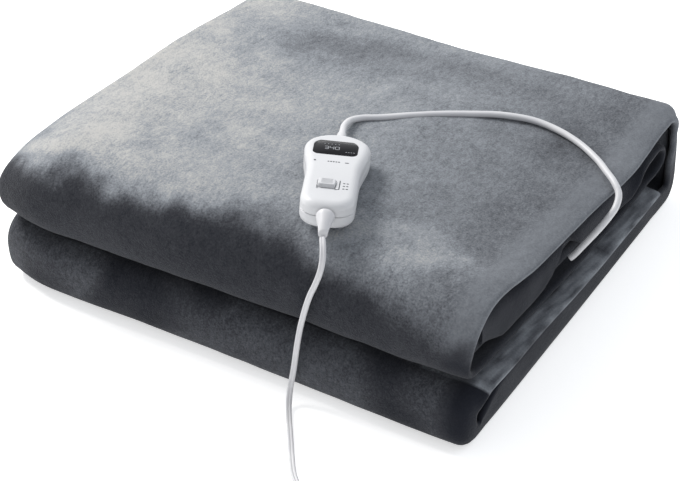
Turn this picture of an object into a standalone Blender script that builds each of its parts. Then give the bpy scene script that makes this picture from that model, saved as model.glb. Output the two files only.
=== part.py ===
"""Electric heated blanket, folded for storage, with its hand control, leads and plug.

Metres, +Z up. X runs along the blanket's front folds, Y from front to back, and
the origin is under the middle of the folded stack, on the surface it lies on.

The blanket is one sheet, folded twice. First it is folded in three across X, like
a Z, which makes a strip. Then the strip is folded along Y into five passes: a tucked
flap, the upper package's bottom, its top, the bottom of the stack, and the lower
package's top. The hems on the right are turned in, so they close the packages there.
The hand control lies on top. Its lead to the blanket goes in between the packages,
and its mains lead hangs over the front, runs into a coil and ends in a plug.
"""
import math

import bmesh
import bpy
from mathutils import Matrix, Vector

# ---- the cloth -----------------------------------------------------------------
CLOTH = 0.0060          # the sheet, pile and heating wires included
PITCH_BACK = 0.0070     # one layer to the next, where the stack is pressed flat
PITCH_FRONT = 0.0086    # and where it puffs up towards the front folds
LEFT_FOLD_X = -0.2290   # outer side of the folds on the left
INNER_EDGE_X = -0.2080  # free edge of the third layer, hidden inside the strip

# The strip's route, seen from the right: each row is one straight pass, from where
# it starts to where it ends, at the middle of the strip's outer layer. inner_side is
# where its other layers are: -1 below it, 1 above.
PASSES = [
    # name          y_start  z_start  y_end    z_end   inner_side
    ("tucked_flap", -0.1840, 0.1070, 0.1560, 0.0830, -1.0),
    ("upper_bottom", 0.1560, 0.0470, -0.1850, 0.0640, 1.0),
    ("upper_top",   -0.1600, 0.1390, 0.1700, 0.1125, -1.0),
    ("bottom",       0.1920, 0.0030, -0.1950, 0.0030, 1.0),
    ("lower_top",   -0.1850, 0.0565, 0.1600, 0.0395, -1.0),
]
# The rounded folds between the passes: how far each reaches, at what height, and how
# square it is (2 is an ellipse).
FOLDS = [
    # name          nose_y   nose_z  squareness
    ("tuck_fold",    0.1860, 0.0650, 2.3),
    ("upper_front", -0.2185, 0.0970, 2.5),
    ("back",         0.2190, 0.0330, 3.0),
    ("lower_front", -0.2185, 0.0270, 2.5),
]
# The strip's right side along the route. A pass counts 1 and a fold counts 1, so 4.0 is
# where the top pass begins. A hem that bends by 88 degrees closes the package's side.
SIDES = [
    # at    fold_x  hem_width  hem_bend_deg
    (0.00, 0.2195, 0.0260, 88.0),
    (0.14, 0.2205, 0.0380, 88.0),
    (0.78, 0.2205, 0.0330, 88.0),
    (0.95, 0.2205, 0.0180, 24.0),
    (1.50, 0.2205, 0.0180, 6.0),
    (2.00, 0.2205, 0.0125, 4.0),
    (3.00, 0.2205, 0.0125, 4.0),
    (4.00, 0.2250, 0.0205, 16.0),
    (5.00, 0.2250, 0.0205, 16.0),
    (5.35, 0.2270, 0.0270, 70.0),
    (5.60, 0.2290, 0.0270, 88.0),
    (6.00, 0.2290, 0.0270, 88.0),
    (6.12, 0.2290, 0.0360, 88.0),
    (6.90, 0.2290, 0.0430, 88.0),
    (7.05, 0.2285, 0.0225, 82.0),
    (7.55, 0.2275, 0.0205, 74.0),
    (7.90, 0.2285, 0.0185, 20.0),
    (9.00, 0.2285, 0.0175, 12.0),
]
PASS_PLACES = [0.0, 0.04, 0.12, 0.26, 0.42, 0.58, 0.74, 0.88, 0.96, 1.0]
X_PLACES = [0.2050, 0.1650, 0.1100, -0.0200, -0.1400, -0.2030]
FOLD_STEPS = 6
QUARTER_STEPS = 24      # points on which a fold's length is measured
TURN_STEPS = 4
HEM_STEPS = 4
HEM_START = 0.0055      # how far inside fold_x a hem begins
HEM_BEND_LENGTH = 0.0150

# Where the blanket's lead goes in, the tucked flap's hem is pushed up.
POCKET_Y = -0.0220
POCKET_WIDTH = 0.0300
POCKET_NOTCH = 0.0270

# Where the hand control presses the top down.
DENT_X = 0.0300
DENT_Y = -0.0700
DENT_RADIUS = 0.0480
DENT_DEPTH = 0.0034


def lerp(a, b, t):
    return a + (b - a) * t


def smooth(t):
    t = min(max(t, 0.0), 1.0)
    return t * t * (3.0 - 2.0 * t)


def remove_everything():
    for obj in list(bpy.data.objects):
        bpy.data.objects.remove(obj, do_unlink=True)


def material(name, colour, roughness, metallic=0.0):
    mat = bpy.data.materials.new(name)
    mat.use_nodes = True
    shader = mat.node_tree.nodes["Principled BSDF"]
    shader.inputs["Base Color"].default_value = (*colour, 1.0)
    shader.inputs["Roughness"].default_value = roughness
    shader.inputs["Metallic"].default_value = metallic
    return mat


def add_mesh(name, verts, faces, mat, smooth_deg=40.0):
    mesh = bpy.data.meshes.new(name)
    mesh.from_pydata([tuple(v) for v in verts], [], faces)
    mesh.validate()
    mesh.materials.append(mat)
    mesh.shade_smooth()
    mesh.set_sharp_from_angle(angle=math.radians(smooth_deg))
    obj = bpy.data.objects.new(name, mesh)
    bpy.context.scene.collection.objects.link(obj)
    return obj


def face_outwards(obj):
    bm = bmesh.new()
    bm.from_mesh(obj.data)
    bmesh.ops.recalc_face_normals(bm, faces=bm.faces)
    bm.to_mesh(obj.data)
    bm.free()


# ---- the folded blanket ----------------------------------------------------------
def fold_quarter(fold, end, from_nose):
    """A quarter of a fold as (y, z, in_y, in_z): its outer curve and its inner side."""
    _, nose_y, nose_z, square = fold
    end_y, end_z = end
    quarter = []
    for i in range(QUARTER_STEPS + 1):
        share = i / QUARTER_STEPS if from_nose else 1.0 - i / QUARTER_STEPS
        out = max(math.cos(math.pi / 2 * share), 0.0) ** (2.0 / square)
        up = max(math.sin(math.pi / 2 * share), 0.0) ** (2.0 / square)
        y = end_y + (nose_y - end_y) * out
        z = nose_z + (end_z - nose_z) * up
        in_y = -math.copysign(out, nose_y - end_y)
        in_z = -math.copysign(up, end_z - nose_z)
        quarter.append((y, z, in_y, in_z))
    return quarter


def along_curve(curve, share):
    """The row of a polyline's table at a share of its length."""
    lengths = [0.0]
    for a, b in zip(curve, curve[1:]):
        lengths.append(lengths[-1] + math.dist(a[:2], b[:2]))
    want = lengths[-1] * share
    j = next(n for n in range(1, len(lengths)) if lengths[n] >= want)
    t = (want - lengths[j - 1]) / max(lengths[j] - lengths[j - 1], 1e-9)
    return [lerp(a, b, t) for a, b in zip(curve[j - 1], curve[j])]


def strip_route():
    """Stations along the strip: (y, z, in_y, in_z, at). At counts passes and folds."""
    route = []
    for i, (_, y0, z0, y1, z1, inner_side) in enumerate(PASSES):
        for t in PASS_PLACES:
            route.append((lerp(y0, y1, t), lerp(z0, z1, t), 0.0, inner_side, 2 * i + t))
        if i == len(FOLDS):
            break
        curve = fold_quarter(FOLDS[i], (y1, z1), False)
        curve += fold_quarter(FOLDS[i], PASSES[i + 1][1:3], True)
        for k in range(1, FOLD_STEPS):
            share = k / FOLD_STEPS
            route.append((*along_curve(curve, share), 2 * i + 1 + share))
    return route


def side_values(at):
    """fold_x, the hem's width and its bend, at a place along the strip."""
    row = next(i for i in range(1, len(SIDES)) if SIDES[i][0] >= at)
    before, after = SIDES[row - 1], SIDES[row]
    t = smooth((at - before[0]) / (after[0] - before[0]))
    return [lerp(a, b, t) for a, b in zip(before[1:], after[1:])]


def pocket(y):
    return math.exp(-(((y - POCKET_Y) / POCKET_WIDTH) ** 2))


def cross_section(at, y):
    """The strip cut across: (x, depth) at the middle of the cloth, hem to inner edge."""
    fold_x, length, bend = side_values(at)
    back = smooth((y + 0.17) / 0.34)
    pitch = lerp(PITCH_FRONT, PITCH_BACK, back)
    if at < 1.0:
        length -= POCKET_NOTCH * pocket(y)
    start = fold_x - HEM_START
    hem = [(start, 0.0)]
    fine = 24
    x, depth = start, 0.0
    for k in range(fine):
        angle = math.radians(bend) * smooth((k + 0.5) * length / fine / HEM_BEND_LENGTH)
        x += math.cos(angle) * length / fine
        depth += math.sin(angle) * length / fine
        if (k + 1) % (fine // HEM_STEPS) == 0:
            hem.append((x, depth))
    points = hem[::-1]

    radius = pitch / 2
    left = LEFT_FOLD_X + radius + CLOTH / 2
    right = fold_x - radius - CLOTH / 2
    points += [(x, 0.0) for x in [*X_PLACES, left]]
    for k in range(1, TURN_STEPS + 1):
        turn = math.pi * k / TURN_STEPS
        points.append((left - radius * math.sin(turn), radius - radius * math.cos(turn)))
    points += [(x, pitch) for x in [*X_PLACES[::-1], right]]
    for k in range(1, TURN_STEPS + 1):
        turn = math.pi * k / TURN_STEPS
        points.append((right + radius * math.sin(turn), pitch + radius - radius * math.cos(turn)))
    points += [(x, 2 * pitch) for x in [*X_PLACES[:-1], INNER_EDGE_X]]
    return points


def offset_section(points, offset):
    """The same section moved sideways by half the cloth, to either face of it."""
    moved = []
    for i in range(len(points)):
        a = Vector(points[max(i - 1, 0)])
        b = Vector(points[min(i + 1, len(points) - 1)])
        along = (b - a).normalized()
        moved.append(Vector(points[i]) + Vector((along.y, -along.x)) * offset)
    return moved


def settle(x, y, z):
    """Soft unevenness of the whole stack; it leaves the bottom flat."""
    up = min(z / 0.14, 1.0)
    left = smooth((-x - 0.150) / 0.085)
    front = smooth((-y - 0.10) / 0.12)
    right_end = smooth((x + 0.05) / 0.27)

    right_sag = 0.070 * smooth((x - 0.05) / 0.19)
    right_sag *= smooth((y + 0.22) / 0.10) * smooth((0.20 - y) / 0.12)
    crown = 0.020 * math.cos(x / 0.46 * math.pi) * math.cos(y / 0.50 * math.pi)
    wave = 0.012 * math.sin(13.0 * x + 0.7) * math.sin(11.0 * y + 1.9)
    wave += 0.008 * math.sin(23.0 * x - 9.0 * y + 0.4)
    droop = 0.150 * left * left * smooth((z - 0.060) / 0.080) * smooth((0.02 - y) / 0.20)
    from_dent = math.hypot(x - DENT_X, y - DENT_Y) / DENT_RADIUS
    dent = DENT_DEPTH * math.exp(-from_dent * from_dent) * smooth((z - 0.105) / 0.015)
    new_z = z * (1.0 - right_sag + crown + wave - droop) - dent

    bulge = up * (0.0022 * math.sin(17.0 * x + 0.9) + 0.0016 * math.sin(31.0 * x - 1.0))
    near_corner = (0.0105 * up - 0.0045) * right_end
    pulled_in = 0.0130 * left * left
    new_y = y + front * (bulge + near_corner + pulled_in)

    side = math.copysign(smooth((abs(x) - 0.12) / 0.11), x)
    ripple = up * (0.0016 * math.sin(19.0 * y + 0.6) + 0.0010 * math.sin(41.0 * y + 6.0 * up))
    left_tuck = 0.0030 * smooth((-x - 0.20) / 0.03) * front * abs(1.0 - z / 0.085)
    left_spread = smooth((-x - 0.11) / 0.11) * (0.0145 * smooth((0.02 - y) / 0.18) - 0.0030)
    new_x = x + side * ripple + left_tuck - left_spread
    return Vector((new_x, new_y, new_z))


def build_blanket(mat):
    route = strip_route()
    verts = []
    for y, z, in_y, in_z, at in route:
        middle = cross_section(at, y)
        ring = offset_section(middle, CLOTH / 2) + offset_section(middle, -CLOTH / 2)[::-1]
        for x, depth in ring:
            place = (x, y + in_y * depth, z + in_z * depth)
            verts.append(settle(*place))
    count = len(ring)
    faces = [tuple(range(count)), tuple(range(len(verts) - 1, len(verts) - count - 1, -1))]
    for s in range(len(route) - 1):
        for k in range(count):
            a, b = s * count + k, s * count + (k + 1) % count
            faces.append((a, a + count, b + count, b))
    blanket = add_mesh("blanket", verts, faces, mat, 60.0)
    bm = bmesh.new()
    bm.from_mesh(blanket.data)
    half = count // 2
    ends = [f for f in bm.faces if len(f.verts) > 4]
    bm.verts.ensure_lookup_table()
    for face, base in zip(ends, (0, len(verts) - count)):
        bm.faces.remove(face)
        strip = [bm.verts[base + k] for k in range(count)]
        for k in range(half - 1):
            bm.faces.new((strip[k], strip[k + 1], strip[count - 2 - k], strip[count - 1 - k]))
    bmesh.ops.recalc_face_normals(bm, faces=bm.faces)
    bm.to_mesh(blanket.data)
    bm.free()
    return blanket


# ---- the hand control ------------------------------------------------------------
# It lies on the top pass, so its own axes are tilted with the cloth: U to its right, V
# towards its far end and N up through its face. Its lengths below are along those.
CONTROL_PLACE = Vector((0.0542, -0.1242, 0.1416))   # on the cloth, under its origin
CONTROL_HEADING_DEG = 25.0
CLOTH_SLOPE_X = -0.020
CLOTH_SLOPE_Y = -0.100
NEAR_END_V = -0.0500    # where the rounding of its near end starts
FAR_END_V = 0.0330      # and that of its far end
NEAR_END_LENGTH = 0.0206
FAR_END_LENGTH = 0.0230
NEAR_END_SQUARE = 2.6   # 2 is a plain ellipse, as the far end is
OUTLINE_SIDE = 14       # points along each long side of the outline
OUTLINE_END = 13        # and around each end
SEAM_N = 0.0120
GAP = 0.0003            # between pieces that touch


def control_matrix():
    normal = Vector((-CLOTH_SLOPE_X, -CLOTH_SLOPE_Y, 1.0)).normalized()
    heading = math.radians(CONTROL_HEADING_DEG)
    forward = Vector((-math.sin(heading), math.cos(heading), 0.0))
    forward = (forward - normal * forward.dot(normal)).normalized()
    right = forward.cross(normal)
    return Matrix((right, forward, normal)).transposed().to_4x4()


def half_width(v):
    """Half the control's width: slim near its cord, wide around its window."""
    return lerp(0.0226, 0.0282, smooth((v + 0.012) / 0.046))


def control_outline():
    """The control seen from above, counter-clockwise from its near right side."""
    right_side = []
    for i in range(OUTLINE_SIDE):
        v = lerp(NEAR_END_V, FAR_END_V, i / (OUTLINE_SIDE - 1))
        right_side.append(Vector((half_width(v), v)))
    far_end = []
    for i in range(1, OUTLINE_END):
        angle = math.pi * i / OUTLINE_END
        out, up = math.cos(angle), math.sin(angle)
        far_end.append(Vector((half_width(FAR_END_V) * out, FAR_END_V + FAR_END_LENGTH * up)))
    left_side = [Vector((-p.x, p.y)) for p in right_side[::-1]]
    near_end = []
    for i in range(1, OUTLINE_END):
        angle = math.pi * i / OUTLINE_END
        out = math.copysign(abs(math.cos(angle)) ** (2.0 / NEAR_END_SQUARE), math.cos(angle))
        down = math.sin(angle) ** (2.0 / NEAR_END_SQUARE)
        near_end.append(Vector((-half_width(NEAR_END_V) * out, NEAR_END_V - NEAR_END_LENGTH * down)))
    return right_side + far_end + left_side + near_end


def inset_outline(outline, inset):
    """A closed outline moved inwards."""
    moved = []
    for i, point in enumerate(outline):
        along = (outline[(i + 1) % len(outline)] - outline[i - 1]).normalized()
        moved.append(point - Vector((along.y, -along.x)) * inset)
    return moved


def stack_rings(name, rings, mat, smooth_deg=40.0):
    """A closed solid through rings of points, with flat ends."""
    verts = [p for ring in rings for p in ring]
    count = len(rings[0])
    faces = [tuple(range(count))[::-1], tuple(range(len(verts) - count, len(verts)))]
    for s in range(len(rings) - 1):
        for k in range(count):
            a, b = s * count + k, s * count + (k + 1) % count
            faces.append((a, b, b + count, a + count))
    obj = add_mesh(name, verts, faces, mat, smooth_deg)
    face_outwards(obj)
    return obj


def shell(name, levels, mat):
    """Half of the control's housing: levels are (n, inset of the outline)."""
    outline = control_outline()
    rings = []
    for n, inset in levels:
        rings.append([Vector((p.x, p.y, n)) for p in inset_outline(outline, inset)])
    return stack_rings(name, rings, mat)


def rounded_edge(start_n, end_n, inset, steps):
    """Levels of a rounded edge, from an upright wall to a flat face."""
    levels = []
    for k in range(1, steps + 1):
        turn = math.pi / 2 * k / steps
        levels.append((lerp(start_n, end_n, math.sin(turn)), inset * (1.0 - math.cos(turn))))
    return levels


def rounded_rectangle(width, length, radius, steps=5):
    """Corner arcs of a rectangle around its own middle, counter-clockwise."""
    points = []
    for sign_u, sign_v, first in ((1, -1, -90), (1, 1, 0), (-1, 1, 90), (-1, -1, 180)):
        centre = Vector((sign_u * (width / 2 - radius), sign_v * (length / 2 - radius)))
        for k in range(steps + 1):
            angle = math.radians(first + 90.0 * k / steps)
            points.append(centre + Vector((math.cos(angle), math.sin(angle))) * radius)
    return points


def plate(name, outline, middle, low_n, high_n, mat):
    """A flat piece of the given outline between two heights."""
    rings = [[Vector((p.x + middle[0], p.y + middle[1], n)) for p in outline] for n in (low_n, high_n)]
    return stack_rings(name, rings, mat)


def cut(obj, cutter):
    cutter.hide_render = True
    cutter.display_type = "WIRE"
    modifier = obj.modifiers.new("cut_" + cutter.name, "BOOLEAN")
    modifier.operation = "DIFFERENCE"
    modifier.object = cutter


TOP_N = 0.0245
WINDOW_MIDDLE = (-0.0012, 0.0252)
WINDOW_SIZE = (0.0375, 0.0220)
WINDOW_ARCH = 0.0060    # how much further the window's far side reaches at its middle
WINDOW_DEPTH = 0.0010
SLIDE_MIDDLE_U = -0.0030
RECESS_V = (-0.0465, -0.0302)
RECESS_WIDTH = 0.0158
RECESS_DEPTH = 0.0014
KNOB_SIZE = (0.0150, 0.0114)
KNOB_PROUD = 0.0038


def window_outline(grow):
    """A rounded rectangle whose far side is an arch."""
    width, length = WINDOW_SIZE[0] + 2 * grow, WINDOW_SIZE[1] + 2 * grow
    points = rounded_rectangle(width, length, 0.0035 + grow)
    for p in points:
        if p.y > 0.0:
            p.y += WINDOW_ARCH * (1.0 - (2.0 * p.x / width) ** 2)
    return points


def build_control(white, black):
    """The housing's two halves, its window and its slide knob, in the control's axes."""
    top_levels = [(SEAM_N + GAP, 0.0), (0.0175, 0.0002)]
    top_levels += rounded_edge(0.0175, TOP_N, 0.0075, 5)
    top = shell("controller_top", top_levels, white)
    base_levels = rounded_edge(0.0060, 0.0003, 0.0065, 4)[::-1] + [(0.0060, 0.0), (SEAM_N, 0.0)]
    base = shell("controller_base", base_levels, white)

    floor_n = TOP_N - WINDOW_DEPTH
    pocket_cut = plate("window_pocket", window_outline(GAP), WINDOW_MIDDLE, floor_n, TOP_N + 0.002, white)
    cut(top, pocket_cut)
    window = plate("display_window", window_outline(0.0), WINDOW_MIDDLE, floor_n + GAP, TOP_N, black)

    recess_n = TOP_N - RECESS_DEPTH
    recess_middle = (SLIDE_MIDDLE_U, sum(RECESS_V) / 2)
    recess_size = (RECESS_WIDTH, RECESS_V[1] - RECESS_V[0])
    recess = plate("slide_recess", rounded_rectangle(*recess_size, 0.0015), recess_middle,
                   recess_n, TOP_N + 0.002, white)
    cut(top, recess)

    knob_v = RECESS_V[1] - GAP - KNOB_SIZE[1] / 2
    outline = rounded_rectangle(*KNOB_SIZE, 0.0024)
    rings = []
    for n, inset in ((recess_n + GAP, 0.0), (TOP_N + 0.7 * KNOB_PROUD, 0.0004), (TOP_N + KNOB_PROUD, 0.0014)):
        ring = inset_outline(outline, inset)
        rings.append([Vector((p.x + SLIDE_MIDDLE_U, p.y + knob_v, n)) for p in ring])
    knob = stack_rings("heat_slider", rings, white)
    return [top, base, window, knob, pocket_cut, recess]


# Each collar is a row of rings from the housing outwards: v, n and radius.
NEAR_COLLAR = [(-0.0716, 0.0130, 0.0078), (-0.0740, 0.0128, 0.0072), (-0.0785, 0.0116, 0.0058),
               (-0.0835, 0.0096, 0.0046), (-0.0885, 0.0066, 0.0038)]
FAR_COLLAR = [(0.0570, 0.0120, 0.0056), (0.0620, 0.0117, 0.0052), (0.0710, 0.0110, 0.0045),
              (0.0800, 0.0102, 0.0039)]
COLLAR_SIDES = 14


def collar(name, table, mat):
    rings = []
    for v, n, radius in table:
        ring = []
        for k in range(COLLAR_SIDES):
            angle = 2.0 * math.pi * k / COLLAR_SIDES
            ring.append(Vector((radius * math.cos(angle), v, n + radius * math.sin(angle))))
        rings.append(ring)
    return stack_rings(name, rings, mat)


# ---- the leads -------------------------------------------------------------------
# Routes run through these points; a smooth curve joins them.
BLANKET_LEAD_RADIUS = 0.0030
BLANKET_LEAD = [
    (0.0200, -0.0504, 0.1449), (0.0152, -0.0403, 0.1430), (0.0115, -0.0310, 0.1417),
    (0.0098, -0.0180, 0.1394), (0.0145, -0.0040, 0.1362), (0.0265, 0.0075, 0.1343),
    (0.0460, 0.0266, 0.1325), (0.0676, 0.0457, 0.1307), (0.0905, 0.0626, 0.1290),
    (0.1135, 0.0773, 0.1273), (0.1390, 0.0875, 0.1243), (0.1640, 0.0870, 0.1219),
    (0.1892, 0.0790, 0.1198), (0.2125, 0.0640, 0.1190), (0.2285, 0.0490, 0.1193),
    (0.2400, 0.0385, 0.1185), (0.2485, 0.0300, 0.1140), (0.2510, 0.0200, 0.1075),
    (0.2490, 0.0090, 0.1010), (0.2440, -0.0020, 0.0920), (0.2375, -0.0110, 0.0820),
    (0.2322, -0.0176, 0.0738), (0.2288, -0.0206, 0.0698),
]
MAINS_LEAD_RADIUS = 0.0021
MAINS_LEAD = [
    (0.0925, -0.2048, 0.1535), (0.0970, -0.2115, 0.1490), (0.0995, -0.2165, 0.1410),
    (0.0990, -0.2195, 0.1310), (0.0955, -0.2210, 0.1190), (0.0905, -0.2216, 0.1060),
    (0.0862, -0.2226, 0.0903), (0.0825, -0.2240, 0.0720), (0.0798, -0.2252, 0.0528),
    (0.0778, -0.2275, 0.0300), (0.0775, -0.2330, 0.0130), (0.0820, -0.2430, 0.0036),
    (0.0910, -0.2570, 0.0022), (0.1030, -0.2745, 0.0022), (0.1155, -0.2930, 0.0022),
    (0.1295, -0.3120, 0.0022), (0.1450, -0.3250, 0.0022), (0.1622, -0.3311, 0.0022),
]
ROUTE_STEPS = 4         # tube points between two of a route's own points


def smooth_route(points, steps):
    """A Catmull-Rom curve through the points."""
    points = [Vector(p) for p in points]
    padded = [2 * points[0] - points[1], *points, 2 * points[-1] - points[-2]]
    curve = []
    for i in range(1, len(padded) - 2):
        p0, p1, p2, p3 = padded[i - 1:i + 3]
        for k in range(steps):
            t = k / steps
            curve.append(0.5 * (2 * p1 + (p2 - p0) * t + (2 * p0 - 5 * p1 + 4 * p2 - p3) * t * t
                                + (3 * p1 - p0 - 3 * p2 + p3) * t ** 3))
    return curve + [points[-1]]


def tube(name, points, radius, bevel_resolution, mat):
    curve = bpy.data.curves.new(name, "CURVE")
    curve.dimensions = "3D"
    curve.bevel_depth = radius
    curve.bevel_resolution = bevel_resolution
    curve.use_fill_caps = True
    curve.materials.append(mat)
    spline = curve.splines.new("POLY")
    spline.points.add(len(points) - 1)
    for spot, point in zip(spline.points, points):
        spot.co = (*point, 1.0)
    obj = bpy.data.objects.new(name, curve)
    bpy.context.scene.collection.objects.link(obj)
    return obj


# ---- the coil and the plug ---------------------------------------------------------
# The spare mains lead is wound flat in two layers. The plug lies beside it.
COIL_MIDDLE = Vector((0.1660, -0.3730, 0.0))
COIL_INNER = 0.0182
COIL_OUTER = 0.0398
COIL_HEIGHT = 0.0069
COIL_SIDES = 40
PLUG_PLACE = Vector((0.1040, -0.4115, 0.0))
PLUG_TURN_DEG = 30.4    # the pins point along +Y, turned by this
PLUG_LENGTH = 0.0353
PLUG_WIDTH = 0.0300
PLUG_HEIGHT = 0.0137
PLUG_CORNER = 0.0038
# from its cable end to its pins: shares of its length, its width and its height
PLUG_RINGS = [(-0.50, 0.36, 0.62), (-0.30, 0.46, 0.72), (-0.02, 0.90, 0.92),
              (0.06, 1.00, 1.00), (0.47, 1.00, 1.00), (0.50, 0.94, 0.88)]
PIN_SIDES = 12
PIN_CHAMFER = 0.0010
PIN_SPACING = 0.0190
PIN_RADIUS = 0.0020
PIN_LENGTH = 0.0190
MAINS_TAIL = [
    (0.1779, -0.4132, 0.0044), (0.1650, -0.4235, 0.0030), (0.1500, -0.4335, 0.0024),
    (0.1350, -0.4395, 0.0028), (0.1220, -0.4385, 0.0050), (0.1133, -0.4275, 0.0068),
]


def build_coil(mat):
    rings = []
    for radius, z in ((COIL_INNER, 0.0), (COIL_OUTER, 0.0), (COIL_OUTER, COIL_HEIGHT),
                      (COIL_INNER, COIL_HEIGHT)):
        ring = []
        for k in range(COIL_SIDES):
            angle = 2.0 * math.pi * k / COIL_SIDES
            ring.append(COIL_MIDDLE + Vector((radius * math.cos(angle), radius * math.sin(angle), z)))
        rings.append(ring)
    verts = [p for ring in rings for p in ring]
    faces = []
    for s in range(len(rings)):
        for k in range(COIL_SIDES):
            a, b = s * COIL_SIDES + k, s * COIL_SIDES + (k + 1) % COIL_SIDES
            step = COIL_SIDES if s < len(rings) - 1 else -s * COIL_SIDES
            faces.append((a, b, b + step, a + step))
    obj = add_mesh("mains_coil", verts, faces, mat)
    face_outwards(obj)
    return obj


def build_plug(white, metal):
    """A flat two-pin plug: V runs from its cable end to its pins."""
    middle_z = PLUG_HEIGHT / 2
    body_rings = []
    for v, width_share, height_share in PLUG_RINGS:
        outline = rounded_rectangle(PLUG_WIDTH * width_share, PLUG_HEIGHT * height_share,
                                    PLUG_CORNER * height_share)
        body_rings.append([Vector((p.x, v * PLUG_LENGTH, middle_z + p.y)) for p in outline])
    pieces = [stack_rings("plug_body", body_rings, white)]
    for name, side in (("plug_pin_left", -1.0), ("plug_pin_right", 1.0)):
        pin_rings = []
        start = PLUG_LENGTH / 2 + GAP
        for v, radius in ((start, 1.0), (start + PIN_LENGTH - PIN_CHAMFER, 1.0), (start + PIN_LENGTH, 0.6)):
            ring = []
            for k in range(PIN_SIDES):
                angle = 2.0 * math.pi * k / PIN_SIDES
                u = side * PIN_SPACING / 2 + PIN_RADIUS * radius * math.cos(angle)
                ring.append(Vector((u, v, middle_z + PIN_RADIUS * radius * math.sin(angle))))
            pin_rings.append(ring)
        pieces.append(stack_rings(name, pin_rings, metal))
    return pieces


# ---- the whole -------------------------------------------------------------------
CENTRE_SHIFT = Vector((-0.0005, 0.0012, 0.0))   # brings the stack's box over the origin


def group(name, matrix, pieces, parent=None):
    """An empty that carries pieces made around its own origin."""
    empty = bpy.data.objects.new(name, None)
    bpy.context.scene.collection.objects.link(empty)
    empty.matrix_world = matrix
    empty.parent = parent
    for piece in pieces:
        piece.parent = empty
    return empty


def main():
    remove_everything()
    flannel = material("grey_flannel", (0.22, 0.23, 0.25), 0.95)
    white = material("white_gloss_plastic", (0.82, 0.82, 0.83), 0.30)
    black = material("black_window", (0.01, 0.01, 0.012), 0.08)
    rubber = material("white_soft_pvc", (0.80, 0.80, 0.80), 0.45)
    metal = material("plated_pins", (0.75, 0.73, 0.70), 0.25, 1.0)

    on_floor = [
        build_blanket(flannel),
        tube("blanket_lead", smooth_route(BLANKET_LEAD, ROUTE_STEPS), BLANKET_LEAD_RADIUS, 2, rubber),
        tube("mains_lead", smooth_route(MAINS_LEAD, ROUTE_STEPS), MAINS_LEAD_RADIUS, 2, rubber),
        tube("mains_tail", smooth_route(MAINS_TAIL, ROUTE_STEPS), MAINS_LEAD_RADIUS, 2, rubber),
        build_coil(rubber),
    ]
    stack = group("stack_middle", Matrix.Translation(CENTRE_SHIFT), on_floor)

    control = build_control(white, black)
    control.append(collar("mains_strain_relief", NEAR_COLLAR, rubber))
    control.append(collar("lead_gland", FAR_COLLAR, rubber))
    group("hand_control", Matrix.Translation(CONTROL_PLACE) @ control_matrix(), control, stack)

    turn = Matrix.Rotation(math.radians(PLUG_TURN_DEG), 4, "Z")
    group("plug", Matrix.Translation(PLUG_PLACE) @ turn, build_plug(white, metal), stack)


main()
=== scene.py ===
import math

import bmesh
import bpy
from mathutils import Matrix, Vector, noise


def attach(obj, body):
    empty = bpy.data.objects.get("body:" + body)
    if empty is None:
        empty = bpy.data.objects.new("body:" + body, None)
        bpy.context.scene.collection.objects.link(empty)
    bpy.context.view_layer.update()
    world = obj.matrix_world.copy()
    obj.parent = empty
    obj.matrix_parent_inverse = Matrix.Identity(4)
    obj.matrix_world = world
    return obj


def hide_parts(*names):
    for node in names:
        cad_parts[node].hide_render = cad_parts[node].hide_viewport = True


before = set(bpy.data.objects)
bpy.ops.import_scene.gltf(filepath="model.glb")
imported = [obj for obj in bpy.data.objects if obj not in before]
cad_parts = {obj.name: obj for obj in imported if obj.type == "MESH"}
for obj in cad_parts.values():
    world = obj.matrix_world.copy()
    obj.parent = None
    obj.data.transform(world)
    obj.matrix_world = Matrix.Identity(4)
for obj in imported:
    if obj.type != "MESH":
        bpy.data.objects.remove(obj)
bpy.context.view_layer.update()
ROOT = "stack"
scene = bpy.context.scene

# ---- camera ------------------------------------------------------------------------
# It looks down on the stack's near right corner. The stack's sizes below are in its own
# frame, about a millimetre from the part's.
STACK_SHIFT = Vector((-0.0005, 0.0012, 0.0))
CAMERA_PLACE = Vector((0.7148, -1.2373, 0.9860))
CAMERA_DOWN_DEG = 34.723
CAMERA_TURN_DEG = 30.413
camera_data = bpy.data.cameras.new("camera")
camera_data.sensor_width = 36.0
camera_data.lens = 97.92
camera = bpy.data.objects.new("camera", camera_data)
camera.location = CAMERA_PLACE + STACK_SHIFT
camera.rotation_euler = (math.radians(90.0 - CAMERA_DOWN_DEG), 0.0, math.radians(CAMERA_TURN_DEG))
scene.collection.objects.link(camera)
scene.camera = camera
scene.view_settings.view_transform = "Standard"


# ---- jacket of the leads -------------------------------------------------------------
# White soft PVC with a satin skin and a faint drawn texture along it. The classes here
# make every finish of the part.
class Socket:
    """A shader socket with Python's operators: each one adds a Math node."""

    def __init__(self, finish, socket):
        self.finish = finish
        self.socket = socket

    def maths(self, operation, first, second=0.0):
        return self.finish.node("ShaderNodeMath", {"operation": operation}, {0: first, 1: second})

    def __add__(self, other):
        return self.maths("ADD", self, other)

    def __radd__(self, other):
        return self.maths("ADD", other, self)

    def __sub__(self, other):
        return self.maths("SUBTRACT", self, other)

    def __rsub__(self, other):
        return self.maths("SUBTRACT", other, self)

    def __mul__(self, other):
        return self.maths("MULTIPLY", self, other)

    def __rmul__(self, other):
        return self.maths("MULTIPLY", other, self)

    def limit(self, low, high):
        return self.maths("MINIMUM", self.maths("MAXIMUM", self, low), high)


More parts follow.
